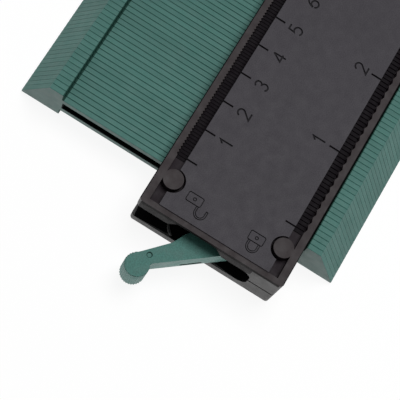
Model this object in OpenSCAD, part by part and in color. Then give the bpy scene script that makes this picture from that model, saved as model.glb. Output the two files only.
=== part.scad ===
// Contour gauge: a stack of thin blades that slide through a slim body of two
// screwed covers, with a ruled panel on the front and a cam lever that locks the stack.
// Millimetres, +Z up. The origin is the centre of the flat underside. X runs along
// the stack with the lever at its -X end, and the blades slide along Y.

/* [Blades] */
// Number of blades in the stack, two to a node
blade_count = 84; // [60:2:88]
// Thickness of one blade
blade_t = 1.5; // [1.2:0.05:1.9]
// Free gap between two neighbouring blades
blade_gap = 0.06; // [0.02:0.01:0.1]
// Length of the slotted part between the two heads
rail_l = 77; // [68:0.5:100]
// Height of each of the two rails
rail_h = 2.4; // [1.8:0.1:2.8]
// Height of the slot between the rails
slot_h = 3; // [2.4:0.1:3.4]
// Solid stretch between the end of the slot and the head
slot_web = 0.6; // [0.3:0.1:3]
// Length of a head from the rails to its tip
head_l = 12; // [8:0.5:18]
// Length of the flat on top of a head
head_flat = 4.4; // [2:0.2:6]
// Height of the heads' lower face above the underside
head_lift = 0.5; // [0.2:0.1:2]
// Height of the blunt edge at the tip
tip_h = 0.8; // [0.4:0.1:2]
// How far the blades are drawn back from their stop at rest
blade_back = 0.4; // [0:0.1:4]

/* [Body] */
// Width of the covers, along the blades
body_w = 44.6; // [40:0.2:60]
// Height over the ruled panel
body_h = 18; // [17:0.2:22]
// Height of the joint between the two covers
joint_z = 7.6; // [7:0.1:8.4]
// Length of each end block past the stack
end_l = 14.36; // [14.2:0.02:20]
// Corner radius of the covers in plan
corner_r = 1; // [0.4:0.1:2]
// Height of the shadow groove along the joint
joint_groove = 0.7; // [0.3:0.1:1]
// Depth of the shadow groove
groove_d = 0.4; // [0.2:0.1:0.6]
// Chamfer along the front cover's two long upper edges
edge_c = 0.25; // [0.1:0.05:0.8]
// Thickness of the inner ribs and of the skin behind the ruled panel
rib_t = 1.6; // [1:0.1:2.4]
// Number of ribbed bays along each cover
bay_count = 8; // [4:1:12]
// Half the width that the ribbed bays take up
bay_half = 12.2; // [8:0.1:12.4]

/* [Ruled panel] */
// Length of both scales
scale_l = 127; // [80:1:130]
// How far the rim lies below the panel
rim_drop = 0.4; // [0.2:0.1:1]
// Width of the rim past each end of the panel
end_rim = 1.6; // [1:0.1:3]
// Half the width of the panel, up to the channels
panel_half = 17.05; // [15:0.05:18]
// Width of the channel on each side of the panel
channel_w = 2.9; // [2:0.1:3]
// Depth of the channels below the rim
channel_d = 2.5; // [1.5:0.1:3]
// Depth of the teeth that mark the fine divisions
tooth_d = 0.45; // [0.2:0.05:0.8]
// Spacing of the teeth on the centimetre side
tooth_cm = 1; // [0.5:0.5:2]
// Spacing of the teeth on the inch side
tooth_inch = 2.54; // [1.27:1.27:5.08]
// Spacing of the long marks on the centimetre side
mark_cm = 10; // [5:5:20]
// Spacing of the long marks on the inch side
mark_inch = 25.4; // [12.7:12.7:25.4]
// Length of a long mark
mark_l = 3.1; // [2:0.1:5]
// Width of a long mark
mark_w = 0.7; // [0.4:0.1:1]
// Depth of a long mark
mark_d = 0.35; // [0.2:0.05:0.6]
// Radius of the round bosses over the cover screws
boss_r = 2.85; // [2.6:0.05:3.1]
// Mean gap between a boss and its pocket in the panel
boss_gap = 0.7; // [0.5:0.05:0.8]
// Shift of the pocket from its boss, towards the end of the body
pocket_shift = 0.45; // [0:0.05:0.45]
// Distance of the bosses from the end faces
boss_inset = 9.78; // [9:0.1:10.5]
// Distance of the bosses from the centre line
boss_y = 17.3; // [16.8:0.1:18]

/* [Lever] */
// Distance of the pivot from the end face
pivot_inset = 4.4; // [4:0.1:5]
// Distance of the pivot from the centre line, on the inch side
pivot_y = 2.7; // [0:0.1:4]
// Distance from the pivot to the middle of the knob
lever_r = 24.6; // [20:0.2:30]
// Direction of the lever at rest, turned from +X
lever_rest = 138.4; // [130:0.2:145]
// Swing from rest to the locked position
lock_deg = 84; // [60:1:86]
// Swing from rest into the slot
stow_deg = 37; // [20:1:38]
// Radius of the knob
knob_r = 3.5; // [3:0.1:4.2]
// Number of grip flutes on the knob
flute_count = 18; // [10:1:24]
// Radius of a grip flute
flute_r = 0.32; // [0.2:0.02:0.5]
// Direction of the first grip flute, turned from the arm
flute_from = -95; // [-105:1:-85]
// Turn from the first grip flute to the last
flute_sweep = 205; // [180:5:215]
// Thickness of the arm
arm_t = 6.7; // [5:0.1:7]
// Distance from the knob to the start of the flare
flare_at = 11; // [8:0.5:13]
// Distance from the knob to the widest point of the flare
flare_end = 15; // [14:0.5:17]
// Half width of the arm at the end of the flare
flare_w = 4.3; // [3.8:0.1:4.6]
// Half width of the arm's straight side at the pivot
arm_root = 4.2; // [3.4:0.1:4.6]
// Half width of the arm's straight side beside the knob
arm_neck = 0.8; // [0.4:0.1:2]
// Fillet between the arm and the knob
neck_r = 2; // [1:0.2:3]
// Height of the slit in the arm's side
slit_h = 1.1; // [0.6:0.1:1.4]
// Height of the slit's middle above the arm's underside
slit_z = 1.3; // [1:0.1:2]
// Depth of the slit
slit_d = 2.5; // [1:0.1:3]
// Length of the slit
slit_l = 6; // [3:0.5:8]
// Distance of the slit from the hub
slit_at = 0.5; // [0.2:0.1:2]
// Radius of the dimple on the arm
dimple_r = 0.9; // [0.5:0.1:1.2]
// Depth of the dimple
dimple_d = 0.35; // [0.1:0.05:0.8]
// Distance of the dimple from the knob's middle, along the arm
dimple_at = 4.1; // [3.6:0.1:6]
// Distance of the dimple from the arm's middle line
dimple_side = 1.6; // [0:0.1:1.8]
// Thickness of the floor below the pivot pin
pin_floor = 1.4; // [1:0.1:2]
// Thickness of the front cover above the pivot pin
pin_skin = 2.2; // [1.6:0.1:3]
// Radius of the pivot pin
pin_r = 2; // [1.6:0.1:2.4]
// Lower edge of the lever slot
lever_z = 3; // [2.8:0.1:3.6]
// Height of the lever slot
lever_slot_h = 9.4; // [9:0.1:9.8]
// Depth of the lever slot from the end face
lever_slot_d = 7.5; // [7:0.1:7.6]
// Distance of the slot's closed end from the centre line
lever_slot_end = 14.1; // [13.6:0.1:16]
// Radius at the slot's closed end
lever_slot_r = 3; // [1:0.2:4]
// Distance of the lip recess's end from the centre line, on the centimetre side
recess_cm = 12.5; // [10:0.1:16]
// Distance of the lip recess's end from the centre line, on the inch side
recess_inch = 4.4; // [3:0.1:8]
// Depth of the lip recess
recess_d = 1.6; // [0.8:0.1:2.4]
// Slant of the recess's ends
recess_slant = 2.4; // [0:0.2:4]
// Height of the skin over the recess
recess_skin = 1.4; // [1:0.1:2.4]
// Depth of the relief in the slot's wall beside the hub
arm_relief = 0.9; // [0.6:0.1:1]
// Length of the relief from the pivot
relief_l = 10; // [8:0.5:11]
// Distance of the floor rib's centre from the pivot, along the stack
slot_rib_x = 1.4; // [1:0.1:2]
// Distance of the floor rib's centre from the pivot, along the blades
slot_rib_y = 9.3; // [9:0.1:10]
// Radius of the floor rib
slot_rib_r = 6; // [5.4:0.1:6.2]
// Thickness of the floor rib
slot_rib_t = 0.5; // [0.4:0.1:0.8]
// Height of the floor rib
slot_rib_h = 1.4; // [0.8:0.1:1.6]
// Direction of the floor rib's start, turned from +X
slot_rib_from = 118; // [112:1:124]
// Turn from the floor rib's start to its end
slot_rib_sweep = 31; // [20:1:32]

/* [Clamp] */
// Travel of the clamp plate between the lever's two limits
cam_throw = 1.2; // [0.8:0.05:1.4]
// Thickness of the clamp plate
clamp_t = 3.5; // [3:0.1:3.8]
// Width of the clamp plate and of the end plate
clamp_w = 21; // [16:0.5:21.5]
// Thickness of the end plate
end_plate_t = 2.4; // [1.6:0.1:2.6]
// Thickness of the rubber cushion at the far end
cushion_t = 1.6; // [1:0.1:1.8]
// Width of a guide bar
bar_w = 4; // [3:0.1:4]
// Distance of the guide bars from the centre line
bar_y = 13; // [12.9:0.1:13.2]
// Length of each bar end that is seated in the covers
bar_seat = 5.5; // [3:0.1:5.6]

/* [Fasteners] */
// Radius of a cover screw's shank
screw_r = 1.45; // [1.2:0.05:1.5]
// Radius of a cover screw's head
screw_head_r = 2.7; // [2.2:0.1:3]
// Height of a cover screw's head
screw_head_h = 1.7; // [1.2:0.1:1.9]
// Depth of a cover screw's head below the underside
screw_seat = 0.4; // [0.1:0.1:0.6]
// Thickness of the boss above the end of a cover screw
screw_skin = 2; // [1.6:0.1:3]
// Radius of a tension screw
tension_r = 2; // [1.5:0.1:2.2]
// Radius of the six-sided socket in a tension screw
socket_r = 1; // [0.6:0.1:1.2]
// Depth of the socket
socket_d = 2; // [1:0.1:2.6]
// Depth of a tension screw's end below the far end face
tension_sink = 1; // [0.4:0.1:2]
// Distance of the tension screws from the centre line
tension_y = 5.5; // [4.5:0.1:6]
// Side of a square nut
nut_w = 7; // [6:0.1:7.4]
// Thickness of a square nut
nut_t = 2.4; // [1.8:0.1:2.6]
// Distance of the nuts from the far end face
nut_inset = 4; // [3:0.1:5]

/* [Clearances] */
// Clearance over and under the blades in their window
slide_clear = 0.2; // [0.1:0.05:0.3]
// Clearance between a head and the body at the end of the travel
stop_clear = 0.2; // [0.1:0.05:0.4]
// Clearance around the guide bars in the blades' slots
bar_clear = 0.15; // [0.1:0.05:0.2]
// Clearance of the lever in its slot
lever_clear = 0.3; // [0.2:0.05:0.4]
// Running clearance of the pin in the lever
run_clear = 0.05; // [0.02:0.01:0.1]
// Clearance of pieces that are seated and don't move
seat_clear = 0.02; // [0.01:0.01:0.05]
// Gap between the cam and the clamp plate
cam_clear = 0.1; // [0.08:0.02:0.2]
// Gap between the locked clamp plate and the first blade, and between the last blade and the cushion
clamp_gap = 0.07; // [0.05:0.01:0.1]

/* [Hidden] */
$fn = 48;
eps = 0.01;
over = 1;
per_node = 2;
GREEN = [0.28, 0.46, 0.42];
BLACK = [0.2, 0.19, 0.21];
STEEL = [0.72, 0.73, 0.75];
RUBBER = [0.1, 0.1, 0.1];

pitch = blade_t + blade_gap;
stack_half = blade_count * pitch / 2;
half_l = stack_half + end_l;
half_w = body_w / 2;
rim_z = body_h - rim_drop;
rail_z = slot_h / 2 + rail_h;
head_z = joint_z - head_lift;
travel = rail_l - body_w - 2 * stop_clear;
blade_rest_y = travel / 2 - blade_back;
window_z = rail_z + slide_clear;
channel_out = panel_half + channel_w;
boss_x = half_l - boss_inset;
bar_h = slot_h - 2 * bar_clear;

pivot_x = pivot_inset - half_l;
lever_top = lever_z + lever_slot_h;
arm_top = lever_top - lever_clear;
arm_bottom = arm_top - arm_t;
knob_bottom = lever_z + lever_clear;
swing = lock_deg + stow_deg;
mid_deg = (lock_deg - stow_deg) / 2;
cam_e = cam_throw / 2 / sin(swing / 2);
arm_taper = atan((arm_root - arm_neck) / (lever_r - knob_r));
lock_travel = cam_throw * lock_deg / swing;
stow_travel = cam_throw * stow_deg / swing;
clamp_x = -stack_half - clamp_gap - lock_travel;
cam_r = clamp_x - clamp_t - cam_clear - pivot_x + cam_e * sin(mid_deg);
hub_room = cam_r + cam_e + 2 * lever_clear;
slot_wall_x = lever_slot_d - half_l;

end_face_x = stack_half + clamp_gap;
end_plate_x = end_face_x + cushion_t;
end_stop_x = end_plate_x + end_plate_t;
screw_top = rim_z - channel_d - screw_skin;
tension_l = half_l - end_stop_x - tension_sink;
pin_top = rim_z - pin_skin;

pair_count = blade_count / per_node;
function blade_name(i) = str("blades_", i < 10 ? "0" : "", i);

// A box from its lowest corner to its highest
module block(low, high) translate(low) cube(high - low);

// Copies its children to the four cover screws
module at_bosses() for (sx = [-1, 1], sy = [-1, 1]) translate([sx * boss_x, sy * boss_y, 0]) children();

// Outline of the covers in plan, with round corners, smaller on all sides by an inset
module plan(inset = 0) {
    square([2 * (half_l - corner_r), body_w - 2 * inset], center = true);
    square([2 * (half_l - inset), body_w - 2 * corner_r], center = true);
    for (sx = [-1, 1], sy = [-1, 1])
        translate([sx * (half_l - corner_r), sy * (half_w - corner_r)]) circle(corner_r - inset);
}

// Shadow groove round the joint of the covers, half in each of them
module joint_ring()
    translate([0, 0, joint_z - joint_groove / 2]) linear_extrude(joint_groove) difference() {
        square([2 * (half_l + over), body_w + 2 * over], center = true);
        plan(groove_d);
    }

// Outline of one blade in Y and Z: a wedge head at each end of two slotted rails
module blade_outline() {
    r = rail_l / 2;
    half = [[r, rail_z], [r, head_z], [r + head_flat, head_z],
            [r + head_l, tip_h - head_z], [r + head_l, -head_z], [r, -head_z], [r, -rail_z]];
    mirrored = [for (i = [len(half) - 1 : -1 : 0]) [-half[i][0], half[i][1]]];
    difference() {
        polygon(concat(half, mirrored));
        square([rail_l - 2 * slot_web, slot_h], center = true);
    }
}

// One blade with its lower X face at x
module blade(x)
    translate([x, blade_rest_y, joint_z]) rotate([90, 0, 90]) linear_extrude(blade_t) blade_outline();

// Two neighbouring blades
module blade_pair(i) color(GREEN)
    for (k = [0 : per_node - 1])
        blade((per_node * (i - 1) + k) * pitch - stack_half + blade_gap / 2);

// One channel in plan on the +Y side, with a tooth on its outer wall at each fine division
module channel_plan(step) {
    count = floor(scale_l / step + eps);
    teeth = [for (i = [0 : count - 1], k = [0, 1])
                [i * step - scale_l / 2 + k * step / 2, channel_out + k * tooth_d]];
    x_end = half_l - end_rim;
    difference() {
        union() {
            polygon(concat([[-x_end, panel_half], [-x_end, channel_out]], teeth,
                           [[count * step - scale_l / 2, channel_out],
                            [x_end, channel_out], [x_end, panel_half]]));
            for (sx = [-1, 1]) intersection() {
                translate([sx * (boss_x + pocket_shift), boss_y]) circle(boss_r + boss_gap);
                translate([sx * boss_x - 2 * boss_r, 0]) square([4 * boss_r, channel_out]);
            }
        }
        for (sx = [-1, 1]) translate([sx * boss_x, boss_y]) circle(boss_r);
    }
}

// Long marks of one scale on the +Y side
module marks(step)
    for (x = [-scale_l / 2 : step : scale_l / 2 + eps])
        block([x - mark_w / 2, panel_half - mark_l, body_h - mark_d],
              [x + mark_w / 2, panel_half + eps, body_h + eps]);

// Both channels and both rows of marks, cut from the front
module ruling() {
    for (side = [[0, tooth_cm, mark_cm], [1, tooth_inch, mark_inch]]) mirror([0, side[0], 0]) {
        translate([0, 0, rim_z - channel_d]) linear_extrude(channel_d + over) channel_plan(side[1]);
        marks(side[2]);
    }
}

// Chamfers along the two long upper edges of the rim
module edge_chamfers() {
    corner = [[-edge_c, eps], [eps, eps], [eps, -edge_c]];
    for (sy = [0, 1]) mirror([0, sy, 0])
        translate([-half_l - over, half_w, rim_z]) rotate([90, 0, 90])
            linear_extrude(2 * (half_l + over)) polygon(corner);
}

// Room for the lever: the end slot, open on the centimetre side and round at its
// other end, the hub's pocket and a relief beside the hub
module lever_room() {
    y_end = half_w + over;
    round_y = lever_slot_r - lever_slot_end;
    translate([-half_l - over, 0, lever_z]) rotate([90, 0, 90]) linear_extrude(lever_slot_d + over) {
        translate([round_y, 0]) square([y_end - round_y, lever_slot_h]);
        translate([-lever_slot_end, lever_slot_r])
            square([lever_slot_r + eps, lever_slot_h - 2 * lever_slot_r]);
        for (z = [lever_slot_r, lever_slot_h - lever_slot_r]) translate([round_y, z]) circle(lever_slot_r);
    }
    translate([pivot_x, -pivot_y, lever_z]) cylinder(r = hub_room, h = lever_slot_h);
    block([slot_wall_x - eps, -pivot_y, lever_z],
          [slot_wall_x + arm_relief, relief_l - pivot_y, lever_top]);
}

// Room for everything that sits between the two covers
module inner_room() {
    clamp_half = clamp_w / 2 + slide_clear;
    far = half_w + over;
    low = joint_z - window_z;
    high = joint_z + window_z;
    block([-stack_half - slide_clear, -far, low], [stack_half + slide_clear, far, high]);
    block([clamp_x - clamp_t - stow_travel - lever_clear, -clamp_half, low],
          [-stack_half, clamp_half, high]);
    block([stack_half, -clamp_half, low], [end_stop_x + seat_clear, clamp_half, high]);
    for (sy = [-1, 1]) {
        bar_block(sy, seat_clear);
        tension_hole(sy);
        nut_block(sy, seat_clear);
    }
    lever_room();
    translate([pivot_x, -pivot_y, pin_floor]) cylinder(r = pin_r + seat_clear, h = pin_top - pin_floor);
    at_bosses() translate([0, 0, screw_seat])
        cylinder(r = screw_r + seat_clear, h = screw_top - screw_seat);
}

// One guide bar, grown on all sides by a clearance
module bar_block(sy, grow)
    translate([0, sy * bar_y, joint_z])
        cube([2 * (stack_half + bar_seat + grow), bar_w + 2 * grow, bar_h + 2 * grow], center = true);

// One square nut, grown on all sides by a clearance
module nut_block(sy, grow)
    translate([half_l - nut_inset - nut_t / 2, sy * tension_y, joint_z])
        cube([nut_t + 2 * grow, nut_w + 2 * grow, nut_w + 2 * grow], center = true);

// Hole for one tension screw, from the end plate out through the far end face
module tension_hole(sy)
    translate([end_stop_x - eps, sy * tension_y, joint_z]) rotate([0, 90, 0])
        cylinder(r = tension_r + seat_clear, h = half_l - end_stop_x + over);

// Hollow bays between the ribs that bear on the blades
module bays(z0, z1) {
    bay_l = (2 * stack_half - (bay_count + 1) * rib_t) / bay_count;
    for (i = [0 : bay_count - 1], row = [0, 1])
        translate([i * (bay_l + rib_t) + rib_t - stack_half, row == 0 ? rib_t / 2 : -bay_half, z0])
            cube([bay_l, bay_half - rib_t / 2, z1 - z0]);
}

// Recess in the end face over the lever
module lip_recess() {
    recess_top = rim_z - recess_skin;
    outline = [[-recess_inch, lever_top - eps], [recess_slant - recess_inch, recess_top],
               [recess_cm - recess_slant, recess_top], [recess_cm, lever_top - eps]];
    translate([-half_l - over, 0, 0]) rotate([90, 0, 90]) linear_extrude(recess_d + over) polygon(outline);
}

module front_cover() color(BLACK) difference() {
    union() {
        translate([0, 0, joint_z]) linear_extrude(rim_z - joint_z) plan();
        block([end_rim - half_l, -panel_half, rim_z - eps], [half_l - end_rim, panel_half, body_h]);
    }
    ruling();
    at_bosses() translate([0, 0, rim_z]) cylinder(r = boss_r + eps, h = rim_drop + over);
    edge_chamfers();
    joint_ring();
    inner_room();
    bays(joint_z + window_z - eps, rim_z - rib_t);
    lip_recess();
}

module back_cover() color(BLACK) difference() {
    union() {
        difference() {
            linear_extrude(joint_z) plan();
            joint_ring();
            inner_room();
            bays(rib_t, joint_z - window_z + eps);
        }
        hub_seat();
        slot_rib();
    }
    translate([pivot_x, -pivot_y, pin_floor]) cylinder(r = pin_r + seat_clear, h = joint_z);
    at_bosses() translate([0, 0, -eps])
        cylinder(r = screw_head_r + slide_clear, h = screw_head_h + screw_seat + eps);
}

// Round seat under the lever's hub
module hub_seat()
    translate([pivot_x, -pivot_y, lever_z - eps])
        cylinder(r = pin_r + rib_t, h = arm_bottom - run_clear - lever_z + eps);

// Low curved rib on the slot's floor that the arm passes over
module slot_rib()
    translate([pivot_x + slot_rib_x, slot_rib_y - pivot_y, lever_z - eps]) rotate([0, 0, slot_rib_from])
        rotate_extrude(angle = slot_rib_sweep) translate([slot_rib_r, 0]) square([slot_rib_t, slot_rib_h]);

module guide_bar_cm() color(STEEL) bar_block(1, 0);

module guide_bar_inch() color(STEEL) bar_block(-1, 0);

// A plate as wide as the clamp and as high as the rails, with its lower X face at x
module stack_plate(x, t)
    block([x, -clamp_w / 2, joint_z - rail_z], [x + t, clamp_w / 2, joint_z + rail_z]);

module clamp_plate() color(BLACK) stack_plate(clamp_x - clamp_t, clamp_t);

module end_plate() color(STEEL) stack_plate(end_plate_x, end_plate_t);

module end_cushion() color(RUBBER) stack_plate(end_face_x, cushion_t);

// Everything beyond the straight side of the arm and the cam
module beyond_side()
    translate([0, arm_root]) rotate(-arm_taper) translate([-lever_r, 0]) square([3 * lever_r, lever_r]);

// Outline of the lever's arm and of its round cam, with the pivot at the origin and the knob on +X
module arm_outline()
    offset(r = -neck_r, $fn = 64) offset(delta = neck_r) {
        translate([lever_r, 0]) circle(knob_r - flute_r);
        difference() {
            union() {
                rotate(-90 - mid_deg - lever_rest) translate([cam_e, 0]) circle(cam_r, $fn = 96);
                polygon([[lever_r, flute_r - knob_r], [lever_r - flare_at, flute_r - knob_r],
                         [lever_r - flare_end, -flare_w], [0, -cam_r + cam_e],
                         [0, arm_root + over], [lever_r, arm_root + over]]);
            }
            beyond_side();
        }
    }

// Grip flutes round the knob's free side
module flutes()
    for (i = [0 : flute_count - 1])
        rotate([0, 0, flute_from + flute_sweep * i / (flute_count - 1)]) translate([knob_r, 0, 0])
            cylinder(r = flute_r, h = body_h, $fn = 16);

// Cam lever: fluted knob, tapered arm and a round hub set off its pivot by the cam's throw
module lock_lever() color(GREEN)
    translate([pivot_x, -pivot_y, 0]) difference() {
        rotate([0, 0, lever_rest]) {
            translate([0, 0, arm_bottom]) linear_extrude(arm_t) arm_outline();
            translate([lever_r, 0, knob_bottom]) difference() {
                cylinder(r = knob_r, h = arm_top - knob_bottom);
                flutes();
            }
        }
        translate([0, 0, arm_bottom - eps]) cylinder(r = pin_r + run_clear, h = arm_t + 2 * eps);
        rotate([0, 0, lever_rest]) {
            side_slit();
            translate([lever_r - dimple_at, -dimple_side, arm_top - dimple_d])
                cylinder(r = dimple_r, h = over);
        }
    }

// Slit in the arm's straight side
module side_slit() {
    slit_x = cam_r + slit_at;
    slit_y = arm_root - (arm_root - arm_neck) * slit_x / (lever_r - knob_r);
    middle = arm_bottom + slit_z;
    block([slit_x, slit_y - slit_d, middle - slit_h / 2],
          [slit_x + slit_l, slit_y + over, middle + slit_h / 2]);
}

module lever_pin() color(STEEL)
    translate([pivot_x, -pivot_y, pin_floor]) cylinder(r = pin_r, h = pin_top - pin_floor);

// Two socket set screws that press the end plate
module tension_screws() color(STEEL) for (sy = [-1, 1])
    translate([end_stop_x + seat_clear, sy * tension_y, joint_z]) rotate([0, 90, 0]) difference() {
        cylinder(r = tension_r, h = tension_l);
        translate([0, 0, tension_l - socket_d]) cylinder(r = socket_r, h = socket_d + over, $fn = 6);
    }

module tension_nuts() color(STEEL) for (sy = [-1, 1]) difference() {
    nut_block(sy, 0);
    tension_hole(sy);
}

// Four pan-head screws that hold the covers together, driven from the back
module cover_screws() color(STEEL) at_bosses() {
    translate([0, 0, screw_seat]) cylinder(r = screw_head_r, h = screw_head_h);
    translate([0, 0, screw_seat + screw_head_h - eps])
        cylinder(r = screw_r, h = screw_top - screw_seat - screw_head_h - seat_clear);
}

front_cover();
back_cover();
guide_bar_cm();
guide_bar_inch();
clamp_plate();
lock_lever();
lever_pin();
end_cushion();
end_plate();
tension_screws();
tension_nuts();
cover_screws();
for (i = [1 : pair_count]) blade_pair(i);
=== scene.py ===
"""Looks of the contour gauge: moulded finishes, bevelled blades, engraved scales and the studio."""
import logging
import math
from collections.abc import Iterator
from contextlib import contextmanager
from dataclasses import dataclass, field
from enum import Enum

import bmesh
import bpy
import numpy as np
from bmesh.types import BMesh
from bpy.types import Material, Mesh, Node, NodeSocket, Object
from mathutils import Euler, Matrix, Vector


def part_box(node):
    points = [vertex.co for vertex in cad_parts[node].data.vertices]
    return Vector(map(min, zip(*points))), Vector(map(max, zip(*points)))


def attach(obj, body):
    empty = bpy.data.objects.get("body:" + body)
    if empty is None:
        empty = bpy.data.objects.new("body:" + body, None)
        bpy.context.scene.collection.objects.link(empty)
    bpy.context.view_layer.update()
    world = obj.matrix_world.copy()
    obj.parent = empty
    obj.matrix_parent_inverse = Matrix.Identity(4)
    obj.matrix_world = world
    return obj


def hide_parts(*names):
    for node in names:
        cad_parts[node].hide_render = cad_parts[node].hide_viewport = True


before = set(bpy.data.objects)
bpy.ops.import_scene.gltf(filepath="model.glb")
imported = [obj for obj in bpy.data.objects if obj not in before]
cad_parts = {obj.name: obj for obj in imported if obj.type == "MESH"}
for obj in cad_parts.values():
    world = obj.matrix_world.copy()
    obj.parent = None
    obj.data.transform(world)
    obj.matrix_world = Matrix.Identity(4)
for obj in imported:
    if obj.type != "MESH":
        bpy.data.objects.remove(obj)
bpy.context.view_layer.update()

MM = 0.001
LOG = logging.getLogger("contour_gauge")
CLOUD_DETAIL = 3.0
SPECK_DETAIL = 1.0
GLOSS_DETAIL = 4.0
GRAIN_DETAIL = 2.0
NOISE_ROUGH = 0.55
NOISE_LOW, NOISE_HIGH = 0.3, 0.7
WELD_MM = 0.001
WHITE = (1.0, 1.0, 1.0, 1.0)


class Slot(Enum):
    """Material slots of the record."""

    BLACK = "black_plastic"
    BLADE = "blade_green"
    LEVER = "lever_green"
    STEEL = "steel"


class Body(Enum):
    """Bodies that pieces ride on."""

    HOUSING = "body"
    LEVER = "lever"


class Skin(Enum):
    """Material numbers of a blade."""

    OUTER = 0
    SLOT = 1
    FACE = 2
    FOOT = 3


class LeverSkin(Enum):
    """Material numbers of the lever."""

    TOP = 0
    SLIT = 1
    SIDE = 2
    DIMPLE = 3


class Zone(Enum):
    """Material numbers of the covers."""

    PANEL = 0
    ENGRAVED = 1
    RIM = 2
    CHANNEL = 3
    INNER = 4
    SIDE = 5
    MARK = 6
    LIP = 7
    BROW = 8


def rgb(red: int, green: int, blue: int) -> tuple[float, float, float, float]:
    """Turns an sRGB colour of 0 to 255 into Blender's linear colour with full alpha."""
    share = np.array([red, green, blue]) / 255.0
    linear = np.where(share <= 0.04045, share / 12.92, ((share + 0.055) / 1.055) ** 2.4)
    return (*linear.tolist(), 1.0)


class Nodes:
    """Short words for adding shader nodes to one material."""

    def __init__(self, name: str) -> None:
        """Makes an empty node material of that name."""
        self.material = bpy.data.materials.new(name)
        self.material.use_nodes = True
        self.tree = self.material.node_tree
        self.shader = self.tree.nodes["Principled BSDF"]

    def add(self, kind: str, links: dict | None = None, **values) -> Node:
        """Adds a node, sets its properties and joins its inputs.

        Args:
            kind: Node type.
            links: Input name or index to a source socket or to a plain value.
            **values: Node properties.

        Returns:
            The new node.
        """
        node = self.tree.nodes.new(kind)
        for key, value in values.items():
            setattr(node, key, value)
        for key, source in (links or {}).items():
            self.feed(node.inputs[key], source)
        return node

    def feed(self, socket: NodeSocket, source) -> None:
        """Joins a socket to another socket, or sets its plain value."""
        if isinstance(source, NodeSocket):
            self.tree.links.new(source, socket)
        else:
            socket.default_value = source

    def noise(self, vector: NodeSocket, size_mm: float, detail: float) -> NodeSocket:
        """Noise whose blots are about size_mm across, from 0 to 1."""
        links = {"Vector": vector, "Scale": 1.0 / (size_mm * MM), "Detail": detail}
        return self.add("ShaderNodeTexNoise", {**links, "Roughness": NOISE_ROUGH}).outputs["Fac"]

    def span(self, value: NodeSocket, low: float, high: float) -> NodeSocket:
        """Stretches the middle of a noise value over low to high."""
        links = {"Value": value, "From Min": NOISE_LOW, "From Max": NOISE_HIGH}
        return self.add("ShaderNodeMapRange", {**links, "To Min": low, "To Max": high}).outputs["Result"]

    def maths(self, operation: str, *values) -> NodeSocket:
        """The result of an operation on one or two values."""
        return self.add("ShaderNodeMath", dict(enumerate(values)), operation=operation).outputs[0]

    def scaled(self, colour: tuple, factor: NodeSocket) -> NodeSocket:
        """A colour made lighter or darker by a factor."""
        links = {0: colour[:3], "Scale": factor}
        return self.add("ShaderNodeVectorMath", links, operation="SCALE").outputs[0]

    def gloss(self, place: NodeSocket, size_mm: float, rough: tuple[float, float]) -> None:
        """Gives the material a roughness that varies between two values."""
        patches = self.noise(place, size_mm, GLOSS_DETAIL)
        self.feed(self.shader.inputs["Roughness"], self.span(patches, *rough))

    def bump(self, place: NodeSocket, size_mm: float, depth_mm: float) -> None:
        """Gives the material bumps of that size and depth."""
        height = self.noise(place, size_mm, GRAIN_DETAIL)
        links = {"Height": height, "Distance": depth_mm * MM, "Strength": 1.0}
        self.feed(self.shader.inputs["Normal"], self.add("ShaderNodeBump", links).outputs["Normal"])


@dataclass(frozen=True)
class MouldedPlastic:
    """Matte moulded plastic: spark-eroded grain, faint clouds in the colour and uneven gloss."""

    name: str
    colour: tuple
    grain_mm: float = 0.28
    grain_depth_mm: float = 0.012
    cloud_mm: float = 14.0
    cloud: float = 0.10
    rough: tuple[float, float] = (0.46, 0.62)
    gloss_mm: float = 3.0
    specular: float = 0.2
    speck: float = 0.08
    speck_share: float = 0.5
    tone_pitch_mm: float = 0.0
    tone: float = 0.0

    def material(self) -> Material:
        """Builds the node material."""
        n = Nodes(self.name)
        place = n.add("ShaderNodeTexCoord").outputs["Object"]
        shade = n.span(n.noise(place, self.cloud_mm, CLOUD_DETAIL), 1.0 - self.cloud, 1.0 + self.cloud)
        if self.tone_pitch_mm:
            shade = self.piece_tone(n, place, shade)
        dots = n.noise(place, self.speck_share * self.grain_mm, SPECK_DETAIL)
        speck = n.span(dots, 1.0 - self.speck, 1.0 + self.speck)
        n.feed(n.shader.inputs["Base Color"], n.scaled(self.colour, n.maths("MULTIPLY", shade, speck)))
        n.gloss(place, self.gloss_mm, self.rough)
        n.shader.inputs["Specular IOR Level"].default_value = self.specular
        n.bump(place, self.grain_mm, self.grain_depth_mm)
        return n.material

    def piece_tone(self, n: Nodes, place: NodeSocket, shade: NodeSocket):
        """Multiplies a tone factor by one slightly different constant for each stacked piece along X."""
        x = n.add("ShaderNodeSeparateXYZ", {0: place}).outputs["X"]
        whole = n.maths("FLOOR", n.maths("DIVIDE", x, self.tone_pitch_mm * MM))
        random = n.add("ShaderNodeTexWhiteNoise", {"W": whole}, noise_dimensions="1D").outputs["Value"]
        links = {"Value": random, "To Min": 1.0 - self.tone, "To Max": 1.0 + self.tone}
        tone = n.add("ShaderNodeMapRange", links).outputs["Result"]
        return n.maths("MULTIPLY", shade, tone)


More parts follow.
